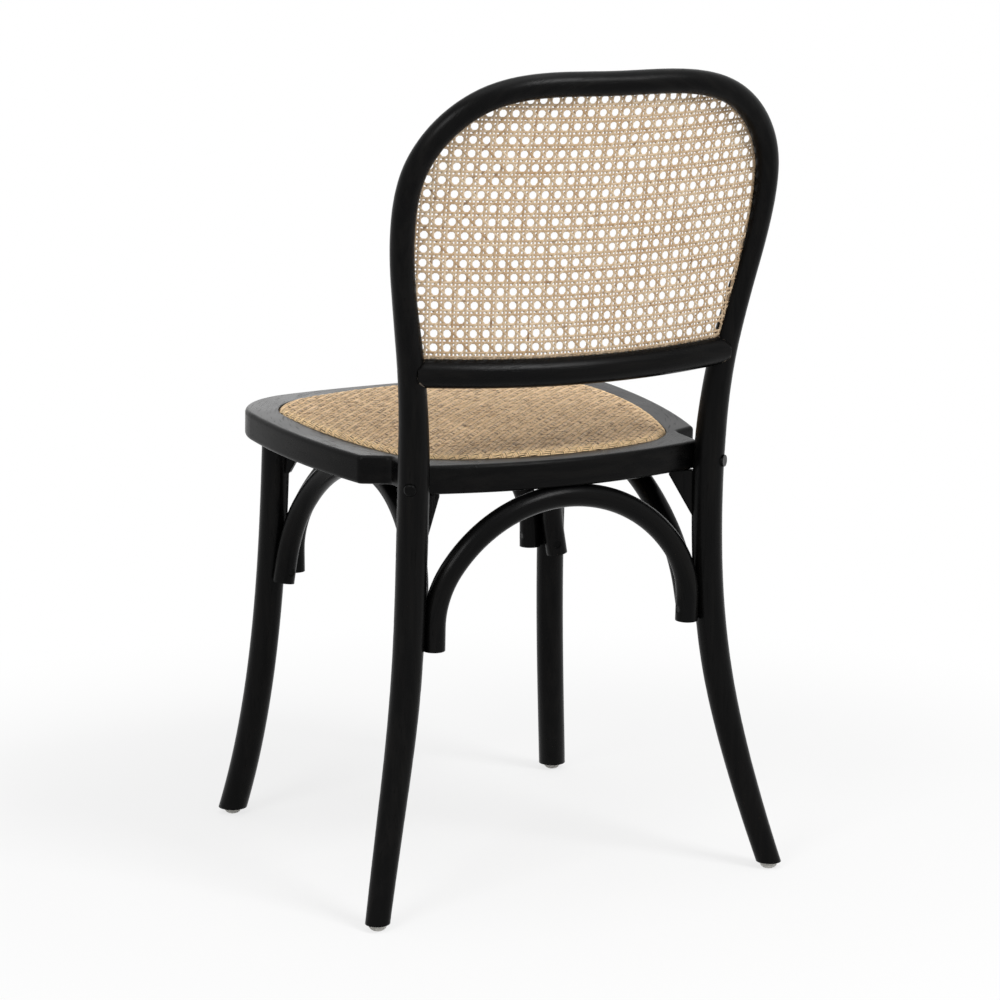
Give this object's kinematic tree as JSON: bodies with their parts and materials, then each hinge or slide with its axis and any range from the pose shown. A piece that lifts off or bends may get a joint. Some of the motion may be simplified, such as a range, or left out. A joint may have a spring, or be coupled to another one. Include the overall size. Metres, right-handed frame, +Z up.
{
  "type": "dining chair",
  "caption": "Bentwood dining chair in black-stained elm with a hoop back filled with cane, a woven rattan seat pad and bent arches bracing the legs under the seat",
  "frame": {"origin": "on the floor under the middle of the chair's bounding box", "axes": "+Z up, the chair faces -Y, +X is the sitter's left"},
  "size_m": [0.4886, 0.5442, 0.8616],
  "materials": {
    "black_elm": "black-stained elm, satin, open grain",
    "plain_wood": "unfinished wood, out of sight",
    "cane": "natural cane, satin",
    "rattan": "woven split rattan, satin",
    "foam": "upholstery foam",
    "black_steel": "black screws and bolts",
    "bright_steel": "plain steel",
    "glide": "pale nylon"
  },
  "bodies": {
    "root": {"back_bow": "black_elm", "lower_back_rail": "black_elm", "rail_dowels": "plain_wood", "cane_panel": "cane", "cane_spline": "cane", "seat_frame": "black_elm", "seat_board": "plain_wood", "seat_foam": "foam", "seat_weave": "rattan", "seat_board_screws": "black_steel", "front_leg_left": "black_elm", "front_leg_right": "black_elm", "front_arch": "black_elm", "rear_arch": "black_elm", "left_arch": "black_elm", "right_arch": "black_elm", "front_gusset_left": "black_elm", "front_gusset_right": "black_elm", "rear_gusset_left": "black_elm", "rear_gusset_right": "black_elm", "arch_end_screws": "black_steel", "arch_top_screws": "black_steel", "rear_leg_bolts": "black_steel", "rear_leg_nuts": "bright_steel", "front_left_glide": "glide", "front_right_glide": "glide", "rear_left_glide": "glide", "rear_right_glide": "glide", "glide_nails": "bright_steel"}
  },
  "joints": []
}
